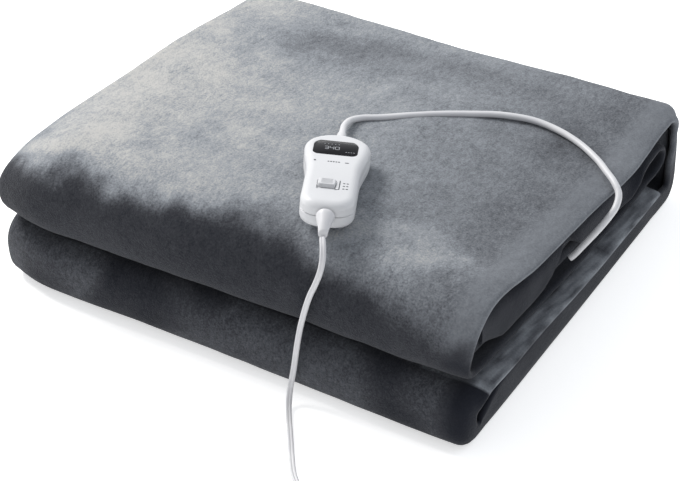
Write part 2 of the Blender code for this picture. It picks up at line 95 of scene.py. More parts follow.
class Finish:
    """A material around one Principled shader."""

    def __init__(self, name, **values):
        self.material = bpy.data.materials.new(name)
        self.material.use_nodes = True
        self.tree = self.material.node_tree
        self.shader = self.tree.nodes["Principled BSDF"]
        for key, value in values.items():
            self.put(key.replace("_", " "), value)

    def join(self, target, value):
        if isinstance(value, Socket):
            self.tree.links.new(value.socket, target)
        else:
            target.default_value = value

    def put(self, name, value):
        self.join(self.shader.inputs[name], value)

    def node(self, kind, settings=None, inputs=None, output=0):
        made = self.tree.nodes.new(kind)
        for key, value in (settings or {}).items():
            if key == "stops":
                elements = made.color_ramp.elements
                while len(elements) < len(value):
                    elements.new(0.5)
                for element, (place, colour) in zip(elements, value):
                    element.position = place
                    element.color = (*colour, 1.0)
            else:
                setattr(made, key, value)
        for key, value in (inputs or {}).items():
            self.join(made.inputs[key], value)
        return Socket(self, made.outputs[output])

    def place(self, scale=(1.0, 1.0, 1.0), turn=(0.0, 0.0, 0.0)):
        """Object coordinates, stretched and turned."""
        here = self.node("ShaderNodeTexCoord", output="Object")
        return self.node("ShaderNodeMapping", None, {"Vector": here, "Scale": scale, "Rotation": turn})

    def noise(self, vector, scale, detail=3.0, roughness=0.5):
        settings = {"Vector": vector, "Scale": scale, "Detail": detail, "Roughness": roughness}
        return self.node("ShaderNodeTexNoise", None, settings)

    def bump(self, height, strength, distance):
        made = self.node("ShaderNodeBump", None,
                         {"Height": height, "Strength": strength, "Distance": distance})
        self.put("Normal", made)

    def ramp(self, value, stops):
        return self.node("ShaderNodeValToRGB", {"stops": stops}, {"Fac": value})


jacket = Finish("lead_jacket_pvc", Specular_IOR_Level=0.45)
grain = jacket.noise(jacket.place(), 420.0, 2.0)
cloudy = jacket.noise(jacket.place(), 35.0, 2.0)
jacket.put("Base Color", jacket.ramp(cloudy, [(0.30, (0.56, 0.56, 0.58)), (0.75, (0.64, 0.64, 0.65))]))
jacket.put("Roughness", 0.36 + 0.12 * grain)
jacket.bump(grain, 0.12, 0.0002)


def link(name, mesh):
    obj = bpy.data.objects.new(name, mesh)
    scene.collection.objects.link(obj)
    return obj


def solid(name, verts, faces, material, smooth_deg=35.0):
    """A mesh object whose faces point outwards."""
    mesh = bpy.data.meshes.new(name)
    mesh.from_pydata([tuple(v) for v in verts], [], faces)
    bm = bmesh.new()
    bm.from_mesh(mesh)
    bmesh.ops.recalc_face_normals(bm, faces=bm.faces)
    bm.to_mesh(mesh)
    bm.free()
    mesh.materials.append(material)
    mesh.shade_smooth()
    mesh.set_sharp_from_angle(angle=math.radians(smooth_deg))
    return link(name, mesh)


def loft(name, rings, material, smooth_deg=35.0):
    """A closed solid through rings of points, with flat ends."""
    count = len(rings[0])
    verts = [p for ring in rings for p in ring]
    faces = [tuple(range(count)), tuple(range(len(verts) - count, len(verts)))]
    for s in range(len(rings) - 1):
        for k in range(count):
            a, b = s * count + k, s * count + (k + 1) % count
            faces.append((a, b, b + count, a + count))
    return solid(name, verts, faces, material, smooth_deg)


def lerp(a, b, t):
    return a + (b - a) * t


def smooth(t):
    t = min(max(t, 0.0), 1.0)
    return t * t * (3.0 - 2.0 * t)


def smooth_route(points, steps):
    """A Catmull-Rom curve through the points."""
    points = [Vector(p) for p in points]
    padded = [2 * points[0] - points[1], *points, 2 * points[-1] - points[-2]]
    curve = []
    for i in range(1, len(padded) - 2):
        p0, p1, p2, p3 = padded[i - 1:i + 3]
        for k in range(steps):
            t = k / steps
            curve.append(0.5 * (2 * p1 + (p2 - p0) * t + (2 * p0 - 5 * p1 + 4 * p2 - p3) * t * t
                                + (3 * p1 - p0 - 3 * p2 + p3) * t ** 3))
    return curve + [points[-1]]


# ---- lead to the blanket ---------------------------------------------------------------
# A round 6 mm lead. It leaves the control's far end, crosses the top, drops over the hem
# on the right and goes in under the hem of the tucked flap.
BLANKET_LEAD_DIAMETER = 0.0060
END_SHARE = 0.9         # a lead's end face, against its full section
BLANKET_LEAD = [
    (0.0200, -0.0504, 0.1449), (0.0152, -0.0403, 0.1430), (0.0115, -0.0310, 0.1417),
    (0.0098, -0.0180, 0.1394), (0.0145, -0.0040, 0.1362), (0.0265, 0.0075, 0.1343),
    (0.0460, 0.0266, 0.1325), (0.0676, 0.0457, 0.1307), (0.0905, 0.0626, 0.1290),
    (0.1135, 0.0773, 0.1273), (0.1390, 0.0875, 0.1243), (0.1640, 0.0870, 0.1219),
    (0.1892, 0.0790, 0.1198), (0.2125, 0.0640, 0.1190), (0.2285, 0.0490, 0.1193),
    (0.2400, 0.0385, 0.1185), (0.2485, 0.0300, 0.1140), (0.2510, 0.0200, 0.1075),
    (0.2490, 0.0090, 0.1010), (0.2440, -0.0020, 0.0920), (0.2375, -0.0110, 0.0820),
    (0.2322, -0.0176, 0.0738), (0.2288, -0.0206, 0.0698),
]


def sweep(name, points, section, thin_side, material):
    """A closed tube: section rows are (across, thick) around the line, in metres."""
    rings = []
    for i, point in enumerate(points):
        along = (points[min(i + 1, len(points) - 1)] - points[max(i - 1, 0)]).normalized()
        thin = thin_side(point)
        thin = (thin - along * thin.dot(along)).normalized()
        across = along.cross(thin)
        rings.append([point + across * a + thin * t for a, t in section])
    for ring, middle in ((rings[0], points[0]), (rings[-1], points[-1])):
        for k, p in enumerate(ring):
            ring[k] = middle.lerp(p, END_SHARE)
    return loft(name, rings, material, 50.0)


def round_section(radius, sides):
    angles = [2.0 * math.pi * k / sides for k in range(sides)]
    return [(radius * math.cos(a), radius * math.sin(a)) for a in angles]


blanket_route = [p + STACK_SHIFT for p in smooth_route(BLANKET_LEAD, 6)]
blanket_lead = sweep("heating_lead", blanket_route, round_section(BLANKET_LEAD_DIAMETER / 2, 20),
                     lambda point: Vector((0.3, 0.2, 1.0)), jacket.material)
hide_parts("blanket_lead")
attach(blanket_lead, ROOT)


# ---- mains lead ------------------------------------------------------------------------
# A flat twin lead, two cores side by side with a groove between them. It hangs over the
# front folds to the floor. Its spare length is wound flat, three turns in and three out.
MAINS_WIDTH = 0.0052
MAINS_THICK = 0.0032
GROOVE = 0.0005
MAINS_LEAD = [
    (0.0925, -0.2048, 0.1535), (0.0970, -0.2115, 0.1490), (0.0995, -0.2165, 0.1410),
    (0.0990, -0.2195, 0.1310), (0.0955, -0.2210, 0.1190), (0.0905, -0.2216, 0.1060),
    (0.0862, -0.2226, 0.0903), (0.0825, -0.2240, 0.0720), (0.0798, -0.2252, 0.0528),
    (0.0778, -0.2275, 0.0300), (0.0775, -0.2330, 0.0130), (0.0820, -0.2430, 0.0036),
    (0.0910, -0.2570, 0.0022), (0.1030, -0.2745, 0.0022), (0.1155, -0.2930, 0.0022),
    (0.1295, -0.3120, 0.0022), (0.1450, -0.3250, 0.0022), (0.1622, -0.3311, 0.0022),
]
COIL_MIDDLE = Vector((0.1660, -0.3730, 0.0))
COIL_OUTER_TURN = 0.0371
COIL_PITCH = 0.0054
COIL_TURNS = 3                  # in each layer, and one more where it climbs
COIL_FIRST_DEG = 80.0
COIL_LAST_DEG = -60.0
COIL_LOW_Z = 0.0018
COIL_HIGH_Z = 0.0051
MAINS_TAIL = [
    (0.1779, -0.4132, 0.0044), (0.1650, -0.4235, 0.0030), (0.1500, -0.4335, 0.0024),
    (0.1350, -0.4395, 0.0028), (0.1220, -0.4385, 0.0050), (0.1133, -0.4275, 0.0068),
]


def coil_points():
    """Clockwise: in on the lower layer, up at the middle, and out on the upper one."""
    steps_a_turn = 20
    last = (COIL_FIRST_DEG - COIL_LAST_DEG) / 360.0
    total = 2 * COIL_TURNS + 1 + last
    points = []
    for k in range(int(total * steps_a_turn) + 1):
        turn = k / steps_a_turn
        inwards = min(turn, COIL_TURNS)
        outwards = min(max(turn - COIL_TURNS - 1, 0.0), COIL_TURNS)
        radius = COIL_OUTER_TURN - COIL_PITCH * (inwards - outwards)
        radius += 0.0030 * (1.0 - smooth(turn / 0.2))
        z = lerp(COIL_LOW_Z, COIL_HIGH_Z, smooth(turn - COIL_TURNS))
        angle = math.radians(COIL_FIRST_DEG) - 2.0 * math.pi * turn
        points.append(COIL_MIDDLE + Vector((radius * math.cos(angle), radius * math.sin(angle), z)))
    return points


def twin_section():
    """Two round cores joined at a groove."""
    half, thick = MAINS_WIDTH / 2, MAINS_THICK / 2
    core = half - thick
    section = []
    for side, first in ((1.0, -90.0), (-1.0, 90.0)):
        for k in range(9):
            angle = math.radians(first + 180.0 * k / 8)
            section.append((side * core + thick * math.cos(angle), thick * math.sin(angle)))
        section.append((0.0, side * (thick - GROOVE)))
    return section


def mains_thin_side(point):
    """The lead bends about its thin side: up on the floor, outwards where it hangs."""
    hanging = smooth((point.z - 0.004) / 0.03)
    return Vector((0.15 * hanging, -1.0 * hanging, 1.0))


drawn = smooth_route(MAINS_LEAD + coil_points() + MAINS_TAIL, 4)
mains_route = [p + STACK_SHIFT for p in drawn]
mains_lead = sweep("twin_mains_lead", mains_route, twin_section(), mains_thin_side, jacket.material)
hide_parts("mains_lead", "mains_coil", "mains_tail")
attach(mains_lead, ROOT)


# ---- blanket -----------------------------------------------------------------------------
# One sheet of short brushed flannel fleece, hemmed around. It is folded in three across
# and then in five, and its hems tuck into the right side of the stack. Each row of the
# tables is a pass or a fold of that strip, as the part has them.
CLOTH = 0.0060
PITCH_BACK = 0.0070
PITCH_FRONT = 0.0086
LEFT_FOLD_X = -0.2290
INNER_EDGE_X = -0.2080
# y and z where a pass starts and ends, and which way its inner side faces
PASSES = [
    (-0.1840, 0.1070, 0.1560, 0.0830, -1.0),    # tucked flap
    (0.1560, 0.0470, -0.1850, 0.0640, 1.0),     # bottom of the upper half
    (-0.1600, 0.1390, 0.1700, 0.1125, -1.0),    # top
    (0.1920, 0.0030, -0.1950, 0.0030, 1.0),     # bottom
    (-0.1850, 0.0565, 0.1600, 0.0395, -1.0),    # top of the lower half
]
TOP_PASS = 2
# the nose's y and z, and how square each fold is
FOLDS = [(0.1860, 0.0650, 2.3), (-0.2185, 0.0970, 2.5), (0.2190, 0.0330, 3.0), (-0.2185, 0.0270, 2.5)]
# along the strip: the fold on the right, the hem's width there, and how far it bends down
SIDES = [
    (0.00, 0.2195, 0.0260, 88), (0.14, 0.2205, 0.0380, 88), (0.78, 0.2205, 0.0330, 88),
    (0.95, 0.2205, 0.0180, 24), (1.50, 0.2205, 0.0180, 6), (2.00, 0.2205, 0.0125, 4),
    (3.00, 0.2205, 0.0125, 4), (4.00, 0.2250, 0.0205, 16), (5.00, 0.2250, 0.0205, 16),
    (5.35, 0.2270, 0.0270, 70), (5.60, 0.2290, 0.0270, 88), (6.00, 0.2290, 0.0270, 88),
    (6.12, 0.2290, 0.0360, 88), (6.90, 0.2290, 0.0430, 88), (7.05, 0.2285, 0.0225, 82),
    (7.55, 0.2275, 0.0205, 74), (7.90, 0.2285, 0.0185, 20), (9.00, 0.2285, 0.0175, 12),
]
SEEN_STEPS = 60         # stations along the top pass
HIDDEN_STEPS = 26       # and along each pass inside the stack
FOLD_STEPS = 34
QUARTER_STEPS = 30
OUTER_STEPS = 84        # points across the outer layer
INNER_STEPS = 14        # and across the two inside it
TURN_STEPS = 8
HEM_STEPS = 8
CAP_STEPS = 3
HEM_START = 0.0055
HEM_BEND_LENGTH = 0.0150
EDGE_X = 0.2050
POCKET_Y = -0.0220
POCKET_WIDTH = 0.0300
POCKET_NOTCH = 0.0270
DENT = Vector((0.0300, -0.0700))
DENT_RADIUS = 0.0480
DENT_DEPTH = 0.0034


def fold_quarter(fold, end, from_nose):
    """A quarter of a fold as (y, z, in_y, in_z): its outer curve and its inner side."""
    nose_y, nose_z, square = fold
    end_y, end_z = end
    quarter = []
    for i in range(QUARTER_STEPS + 1):
        share = i / QUARTER_STEPS if from_nose else 1.0 - i / QUARTER_STEPS
        out = max(math.cos(math.pi / 2 * share), 0.0) ** (2.0 / square)
        up = max(math.sin(math.pi / 2 * share), 0.0) ** (2.0 / square)
        quarter.append((end_y + (nose_y - end_y) * out, nose_z + (end_z - nose_z) * up,
                        -math.copysign(out, nose_y - end_y), -math.copysign(up, end_z - nose_z)))
    return quarter


def along_curve(curve, share):
    """The row of a polyline's table at a share of its length."""
    lengths = [0.0]
    for a, b in zip(curve, curve[1:]):
        lengths.append(lengths[-1] + math.dist(a[:2], b[:2]))
    want = lengths[-1] * share
    j = next(n for n in range(1, len(lengths)) if lengths[n] >= want)
    t = (want - lengths[j - 1]) / max(lengths[j] - lengths[j - 1], 1e-9)
    return [lerp(a, b, t) for a, b in zip(curve[j - 1], curve[j])]


def strip_route():
    """Stations along the strip: (y, z, in_y, in_z, at). At counts passes and folds."""
    stations = []
    for i, (y0, z0, y1, z1, inner_side) in enumerate(PASSES):
        steps = SEEN_STEPS if i == TOP_PASS else HIDDEN_STEPS
        for k in range(steps + 1):
            t = k / steps
            stations.append((lerp(y0, y1, t), lerp(z0, z1, t), 0.0, inner_side, 2 * i + t))
        if i == len(FOLDS):
            break
        curve = fold_quarter(FOLDS[i], (y1, z1), False)
        curve += fold_quarter(FOLDS[i], PASSES[i + 1][:2], True)
        for k in range(1, FOLD_STEPS):
            share = k / FOLD_STEPS
            stations.append((*along_curve(curve, share), 2 * i + 1 + share))
    return stations


def side_values(at):
    """fold_x, the hem's width and its bend, at a place along the strip."""
    row = next(i for i in range(1, len(SIDES)) if SIDES[i][0] >= at)
    before, after = SIDES[row - 1], SIDES[row]
    t = smooth((at - before[0]) / (after[0] - before[0]))
    return [lerp(a, b, t) for a, b in zip(before[1:], after[1:])]


def spread(first, last, steps):
    return [lerp(first, last, k / steps) for k in range(steps + 1)]


def cross_section(at, y):
    """The strip cut across: (x, depth) at the middle of the cloth, hem to inner edge."""
    fold_x, length, bend = side_values(at)
    pitch = lerp(PITCH_FRONT, PITCH_BACK, smooth((y + 0.17) / 0.34))
    if at < 1.0:
        length -= POCKET_NOTCH * math.exp(-(((y - POCKET_Y) / POCKET_WIDTH) ** 2))
    length -= CLOTH / 4
    x, depth = fold_x - HEM_START, 0.0
    hem = [(x, depth)]
    fine = 24
    for k in range(fine):
        angle = math.radians(bend) * smooth((k + 0.5) * length / fine / HEM_BEND_LENGTH)
        x += math.cos(angle) * length / fine
        depth += math.sin(angle) * length / fine
        if (k + 1) % (fine // HEM_STEPS) == 0:
            hem.append((x, depth))
    points = hem[::-1]

    radius = pitch / 2
    left = LEFT_FOLD_X + radius + CLOTH / 2
    right = fold_x - radius - CLOTH / 2
    points += [(x, 0.0) for x in spread(EDGE_X, left, OUTER_STEPS)]
    for k in range(1, TURN_STEPS + 1):
        turn = math.pi * k / TURN_STEPS
        points.append((left - radius * math.sin(turn), radius - radius * math.cos(turn)))
    points += [(x, pitch) for x in spread(left, right, INNER_STEPS)[1:]]
    for k in range(1, TURN_STEPS + 1):
        turn = math.pi * k / TURN_STEPS
        points.append((right + radius * math.sin(turn), pitch + radius - radius * math.cos(turn)))
    points += [(x, 2 * pitch) for x in spread(right, INNER_EDGE_X, INNER_STEPS)[1:]]
    return points


def both_faces(points):
    """The section's outer and inner face, joined round each of its edges."""
    faces = {1.0: [], -1.0: []}
    ends = []
    for i in range(len(points)):
        a = Vector(points[max(i - 1, 0)])
        b = Vector(points[min(i + 1, len(points) - 1)])
        along = (b - a).normalized()
        out = Vector((along.y, -along.x))
        for side, moved in faces.items():
            moved.append(Vector(points[i]) + out * side * CLOTH / 2)
        if i in (0, len(points) - 1):
            away = along if i else -along
            turns = [math.pi * k / (CAP_STEPS + 1) for k in range(1, CAP_STEPS + 1)]
            ends.append([Vector(points[i]) + (out * math.cos(t) + away * math.sin(t)) * CLOTH / 2
                         for t in turns])
    return faces[1.0] + ends[1] + faces[-1.0][::-1] + ends[0][::-1]


def settle(x, y, z):
    """Soft unevenness of the whole stack; it leaves the bottom flat."""
    up = min(z / 0.14, 1.0)
    left = smooth((-x - 0.150) / 0.085)
    front = smooth((-y - 0.10) / 0.12)
    right_end = smooth((x + 0.05) / 0.27)

    right_sag = 0.070 * smooth((x - 0.05) / 0.19)
    right_sag *= smooth((y + 0.22) / 0.10) * smooth((0.20 - y) / 0.12)
    crown = 0.020 * math.cos(x / 0.46 * math.pi) * math.cos(y / 0.50 * math.pi)
    wave = 0.012 * math.sin(13.0 * x + 0.7) * math.sin(11.0 * y + 1.9)
    wave += 0.008 * math.sin(23.0 * x - 9.0 * y + 0.4)
    droop = 0.150 * left * left * smooth((z - 0.060) / 0.080) * smooth((0.02 - y) / 0.20)
    from_dent = math.hypot(x - DENT.x, y - DENT.y) / DENT_RADIUS
    dent = DENT_DEPTH * math.exp(-from_dent * from_dent) * smooth((z - 0.105) / 0.015)
    new_z = z * (1.0 - right_sag + crown + wave - droop) - dent

    bulge = up * (0.0022 * math.sin(17.0 * x + 0.9) + 0.0016 * math.sin(31.0 * x - 1.0))
    near_corner = (0.0105 * up - 0.0045) * right_end
    pulled_in = 0.0130 * left * left
    new_y = y + front * (bulge + near_corner + pulled_in)

    side = math.copysign(smooth((abs(x) - 0.12) / 0.11), x)
    ripple = up * (0.0016 * math.sin(19.0 * y + 0.6) + 0.0010 * math.sin(41.0 * y + 6.0 * up))
    left_tuck = 0.0030 * smooth((-x - 0.20) / 0.03) * front * abs(1.0 - z / 0.085)
    left_spread = smooth((-x - 0.11) / 0.11) * (0.0145 * smooth((0.02 - y) / 0.18) - 0.0030)
    return Vector((x + side * ripple + left_tuck - left_spread, new_y, new_z))


# Soft creases: two ends on the top, half a width, and a height (a trough is negative).
CREASES = [
    ((-0.0120, 0.0300), (-0.0040, 0.1820), 0.0100, -0.0024),
    ((0.0040, 0.0340), (0.0130, 0.1780), 0.0110, 0.0016),
    ((-0.2050, -0.0600), (-0.0700, -0.1300), 0.0150, -0.0012),
    ((0.1250, -0.1850), (0.2100, -0.1350), 0.0120, -0.0014),
    ((-0.1700, 0.1400), (-0.0900, 0.0200), 0.0160, 0.0012),
]


def crease_height(x, y):
    height = 0.0
    for first, last, half, depth in CREASES:
        a, b, p = Vector(first), Vector(last), Vector((x, y))
        share = min(max((p - a).dot(b - a) / (b - a).length_squared, 0.0), 1.0)
        away = (p - a.lerp(b, share)).length / half
        height += depth * math.exp(-away * away) * math.sin(math.pi * lerp(0.12, 0.88, share))
    return height


# The nap lies back over the top, and shows its dark side over the front; the dark front is
# also painted shade, for faces that turn away from the light. Where it turns: x, and how far
# below the start of the top pass, along the cloth.
NAP_TURN = [(-0.26, -0.045), (-0.15, -0.042), (-0.09, -0.048), (-0.03, -0.030), (0.03, -0.032),
            (0.10, -0.052), (0.15, -0.066), (0.20, -0.080), (0.26, -0.090)]
NAP_TURN_WIDTH = 0.050
TOP_PASS_LENGTH = 0.330
TOP_FOLD_LENGTH = 0.150
# Strokes on the top where the pile lies another way: middle, half sizes and change of tone
NAP_STROKES = [
    (-0.115, 0.115, 0.090, 0.055, -0.34), (-0.010, 0.150, 0.100, 0.040, -0.14),
    (-0.097, -0.112, 0.036, 0.026, -0.20), (0.028, -0.100, 0.025, 0.030, -0.14),
    (0.165, 0.080, 0.032, 0.040, -0.12), (0.120, -0.155, 0.060, 0.028, 0.17),
    (0.180, -0.165, 0.034, 0.026, 0.20), (-0.160, -0.150, 0.055, 0.032, 0.10),
    (-0.050, -0.085, 0.034, 0.020, 0.12), (-0.240, -0.150, 0.030, 0.060, -0.35),
]


# Stretches of the strip, in passes and folds along it
HIDDEN_UNTIL = 3.2
TOP_START = 4.0
BACK_TURN = 5.1
BOTTOM_STRETCH = (6.0, 6.9)
LIGHT_STRIP_START = 7.85
LIGHT_STRIP_X = 0.15
# The front's dark tone: the nap's dark side, and painted shade.
DARK_TONE = 0.07
# painted highlight: the hem band on the top, lighter where its rounding catches the light
HEM_HIGHLIGHT_TONE = 0.50


def nap(place, at, hem):
    """How light the pile shows: 0 is brushed towards the front, 1 away from it; it also carries painted
    light and shade.
    """
    x, y, _ = place
    rough = noise.noise(place * 24.0) * 0.020 + noise.noise(place * 75.0) * 0.010
    # The top of the lower half: painted shade inwards, where the upper half covers it, and a light
    # mottle at its right edge that also paints the light and shade of crumpled cloth.
    if at > LIGHT_STRIP_START:
        lumps = Vector((90.0 * x, 34.0 * y, 90.0 * place.z))
        mottle_and_crumple_light = 0.33 + 0.26 * noise.noise(lumps) + 0.30 * noise.noise(lumps * 2.7)
        return lerp(0.05, mottle_and_crumple_light, smooth((x - LIGHT_STRIP_X) / 0.03))
    # Painted shade: the layers inside the stack and the bottom layer are dark, as they lie in its recess
    # and under it.
    if at < HIDDEN_UNTIL or BOTTOM_STRETCH[0] < at < BOTTOM_STRETCH[1]:
        return 0.03 + 0.06 * noise.noise(place * 40.0)
    # The lower half's front fold stays dark, for its nap and as painted shade, darkest at the hem.
    if at > BOTTOM_STRETCH[1]:
        return (0.13 * smooth(0.5 + 2.0 * noise.noise(place * 14.0)) + 0.03) * (1.0 - hem)
    row = next(i for i in range(1, len(NAP_TURN)) if NAP_TURN[i][0] >= x)
    (x0, turn0), (x1, turn1) = NAP_TURN[row - 1], NAP_TURN[row]
    turn = lerp(turn0, turn1, smooth((x - x0) / (x1 - x0)))
    below = (at - TOP_START) * (TOP_PASS_LENGTH if at > TOP_START else TOP_FOLD_LENGTH)
    # Over the front the pile goes dark: its nap's dark side, and painted shade.
    over_front = smooth(0.5 + (below - turn + rough) / NAP_TURN_WIDTH)
    # Painted light: the top is lighter on the left, towards the key light, and darker to the right.
    tone = 0.62 - 1.35 * x
    for stroke_x, stroke_y, across, along, change in NAP_STROKES:
        away = math.hypot((x - stroke_x + rough) / across, (y - stroke_y + 1.5 * rough) / along)
        tone += change * math.exp(-away * away)
    # Painted highlight on the hem band; past BACK_TURN the top darkens as it turns down at the back.
    tone = lerp(lerp(tone, HEM_HIGHLIGHT_TONE, 0.8 * hem), 0.12, smooth((at - BACK_TURN + 6.0 * rough) / 0.7))
    return DARK_TONE * (1.0 - hem) + (tone - DARK_TONE) * over_front


def build_blanket():
    verts, pile_and_light_values, hems = [], [], []
    stations = strip_route()
    for y, z, in_y, in_z, at in stations:
        middle = cross_section(at, y)
        ring = both_faces(middle)
        count = len(ring)
        fold_x = side_values(at)[0]
        for x, depth in ring:
            place = settle(x, y + in_y * depth, z + in_z * depth)
            soft = noise.noise(place * 16.0) * 0.0011 + noise.noise(place * 45.0) * 0.0006
            grow = smooth(place.z / 0.02)
            if 3.9 < at < 5.1 and abs(depth) < CLOTH:
                place.z += soft + crease_height(place.x, place.y)
            else:
                place -= Vector((0.0, in_y, in_z * grow)) * soft
            verts.append(place + STACK_SHIFT)
            hems.append(smooth((x - fold_x + HEM_START + 0.006) / 0.003))
            pile_and_light_values.append(nap(place, at, hems[-1]))
    last = len(verts) - count
    faces = []
    for s in range(len(stations) - 1):
        for k in range(count):
            a, b = s * count + k, s * count + (k + 1) % count
            faces.append((a, a + count, b + count, b))
    points = len(middle)
    for base in (0, last):
        for k in range(points - 1):
            other = points + CAP_STEPS + (points - 1 - k)
            faces.append((base + k, base + k + 1, base + other - 1, base + other))
        for start in (points - 1, 2 * points + CAP_STEPS - 1):
            faces.append(tuple(base + (start + k) % count for k in range(CAP_STEPS + 2)))
    blanket = solid("flannel_blanket", verts, faces, flannel.material, 75.0)
    for name, values in (("nap", pile_and_light_values), ("hem", hems)):
        blanket.data.attributes.new(name, "FLOAT", "POINT").data.foreach_set("value", values)
    return blanket


flannel = Finish("flannel_pile", Roughness=0.95, Specular_IOR_Level=0.12)
flannel.put("Sheen Weight", 0.10)
flannel.put("Sheen Roughness", 0.45)
# The pile tone read per point carries the nap and painted light and shade alike; the ramp turns it to
# colour.
painted_light_and_nap = flannel.node("ShaderNodeAttribute", {"attribute_name": "nap"}, output=2)
hem_band = flannel.node("ShaderNodeAttribute", {"attribute_name": "hem"}, output=2)
tufts = flannel.noise(flannel.place(), 560.0, 4.0, 0.70)
combed = flannel.noise(flannel.place((1.0, 0.45, 0.8)), 250.0, 3.0, 0.6)
clouds = flannel.noise(flannel.place(), 24.0, 4.0, 0.6)
standing = 1.0 - 0.55 * hem_band
lively = (0.10 + 0.9 * painted_light_and_nap) * standing
shade = painted_light_and_nap + lively * (1.50 * (tufts - 0.5) + 0.80 * (combed - 0.5) + 0.70 * (clouds - 0.5))
pile = flannel.ramp(shade.limit(0.0, 1.0), [
    (0.0, (0.011, 0.0125, 0.018)), (0.12, (0.037, 0.039, 0.046)), (0.30, (0.108, 0.115, 0.129)),
    (0.60, (0.245, 0.262, 0.284)), (1.0, (0.436, 0.430, 0.416))])
flannel.put("Base Color", pile)
flannel.bump(standing * (tufts + 0.4 * combed), 0.9, 0.0014)

blanket = build_blanket()
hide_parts("blanket")
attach(blanket, ROOT)


# ---- control -----------------------------------------------------------------------------
# Two moulded white shells closed at a seam, lying on the cloth. Its own axes are U to its
# right, V towards its far end and N up through its face.
CONTROL_PLACE = Vector((0.0542, -0.1242, 0.1416))
CONTROL_HEADING_DEG = 25.0
CLOTH_SLOPE = Vector((-0.020, -0.100))
NEAR_END_V = -0.0500
FAR_END_V = 0.0330
NEAR_END_LENGTH = 0.0206
FAR_END_LENGTH = 0.0230
NEAR_END_SQUARE = 2.6   # 2 is an ellipse, and more is squarer
SEAM_N = 0.0120
TOP_N = 0.0245
GAP = 0.0003
SHOULDER_N = 0.0175     # where the top shell's wall turns over
FOOT_N = 0.0060         # and the base shell's turns under


def control_matrix():
    normal = Vector((-CLOTH_SLOPE.x, -CLOTH_SLOPE.y, 1.0)).normalized()
    heading = math.radians(CONTROL_HEADING_DEG)
    forward = Vector((-math.sin(heading), math.cos(heading), 0.0))
    forward = (forward - normal * forward.dot(normal)).normalized()
    turn = Matrix((forward.cross(normal), forward, normal)).transposed().to_4x4()
    return Matrix.Translation(CONTROL_PLACE + STACK_SHIFT) @ turn


def half_width(v):
    """Half the control's width: slim near its cord, wide around its window."""
    return lerp(0.0226, 0.0282, smooth((v + 0.012) / 0.046))


def control_outline(side_steps=28, end_steps=32):
    """The control seen from above, counter-clockwise from its near right side."""
    sides_v = spread(NEAR_END_V, FAR_END_V, side_steps - 1)
    right_side = [Vector((half_width(v), v)) for v in sides_v]
    far_end, near_end = [], []
    for i in range(1, end_steps):
        angle = math.pi * i / end_steps
        far_v = FAR_END_V + FAR_END_LENGTH * math.sin(angle)
        far_end.append(Vector((half_width(FAR_END_V) * math.cos(angle), far_v)))
        out = math.copysign(abs(math.cos(angle)) ** (2.0 / NEAR_END_SQUARE), math.cos(angle))
        down = math.sin(angle) ** (2.0 / NEAR_END_SQUARE)
        near_v = NEAR_END_V - NEAR_END_LENGTH * down
        near_end.append(Vector((-half_width(NEAR_END_V) * out, near_v)))
    left_side = [Vector((-p.x, p.y)) for p in right_side[::-1]]
    return right_side + far_end + left_side + near_end


def inset_outline(outline, inset):
    moved = []
    for i, point in enumerate(outline):
        along = (outline[(i + 1) % len(outline)] - outline[i - 1]).normalized()
        moved.append(point - Vector((along.y, -along.x)) * inset)
    return moved


def rounded_edge(start_n, end_n, inset, steps):
    """(n, inset) of a rounded edge, from an upright wall to a flat face."""
    turns = [math.pi / 2 * k / steps for k in range(1, steps + 1)]
    return [(lerp(start_n, end_n, math.sin(t)), inset * (1.0 - math.cos(t))) for t in turns]


def rounded_rectangle(width, length, radius, steps=6):
    points = []
    for sign_u, sign_v, first in ((1, -1, -90), (1, 1, 0), (-1, 1, 90), (-1, -1, 180)):
        centre = Vector((sign_u * (width / 2 - radius), sign_v * (length / 2 - radius)))
        for k in range(steps + 1):
            angle = math.radians(first + 90.0 * k / steps)
            points.append(centre + Vector((math.cos(angle), math.sin(angle))) * radius)
    return points


def layered(name, outline, levels, material, middle=(0.0, 0.0), smooth_deg=35.0):
    """A closed piece of one outline at several (n, inset) levels, in the control's axes."""
    rings = []
    for n, inset in levels:
        ring = inset_outline(outline, inset)
        rings.append([Vector((p.x + middle[0], p.y + middle[1], n)) for p in ring])
    return loft(name, rings, material, smooth_deg)


def subtract(obj, cutter):
    """Cuts one closed piece out of another and drops the cutter."""
    modifier = obj.modifiers.new("cut", "BOOLEAN")
    modifier.operation = "DIFFERENCE"
    modifier.object = cutter
    bpy.context.view_layer.update()
    cut = bpy.data.meshes.new_from_object(obj.evaluated_get(bpy.context.evaluated_depsgraph_get()))
    obj.modifiers.clear()
    obj.data = cut
    obj.data.set_sharp_from_angle(angle=math.radians(30.0))
    bpy.data.objects.remove(cutter)


def settle_on(obj, matrix, slot, *nodes, body=ROOT):
    """Puts a piece made in a local frame in its place under its body, and hides the parts it stands for.
    """
    obj.data.transform(matrix)
    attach(obj, body)
    if nodes:
        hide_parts(*nodes)
    return obj


housing = Finish("housing_abs", Specular_IOR_Level=0.35)
fine = housing.noise(housing.place(), 900.0, 2.0)
housing.put("Base Color", housing.ramp(housing.noise(housing.place(), 18.0, 2.0),
                                       [(0.3, (0.58, 0.585, 0.60)), (0.7, (0.62, 0.625, 0.64))]))
housing.put("Roughness", 0.36 + 0.10 * fine)
housing.bump(fine, 0.06, 0.0002)

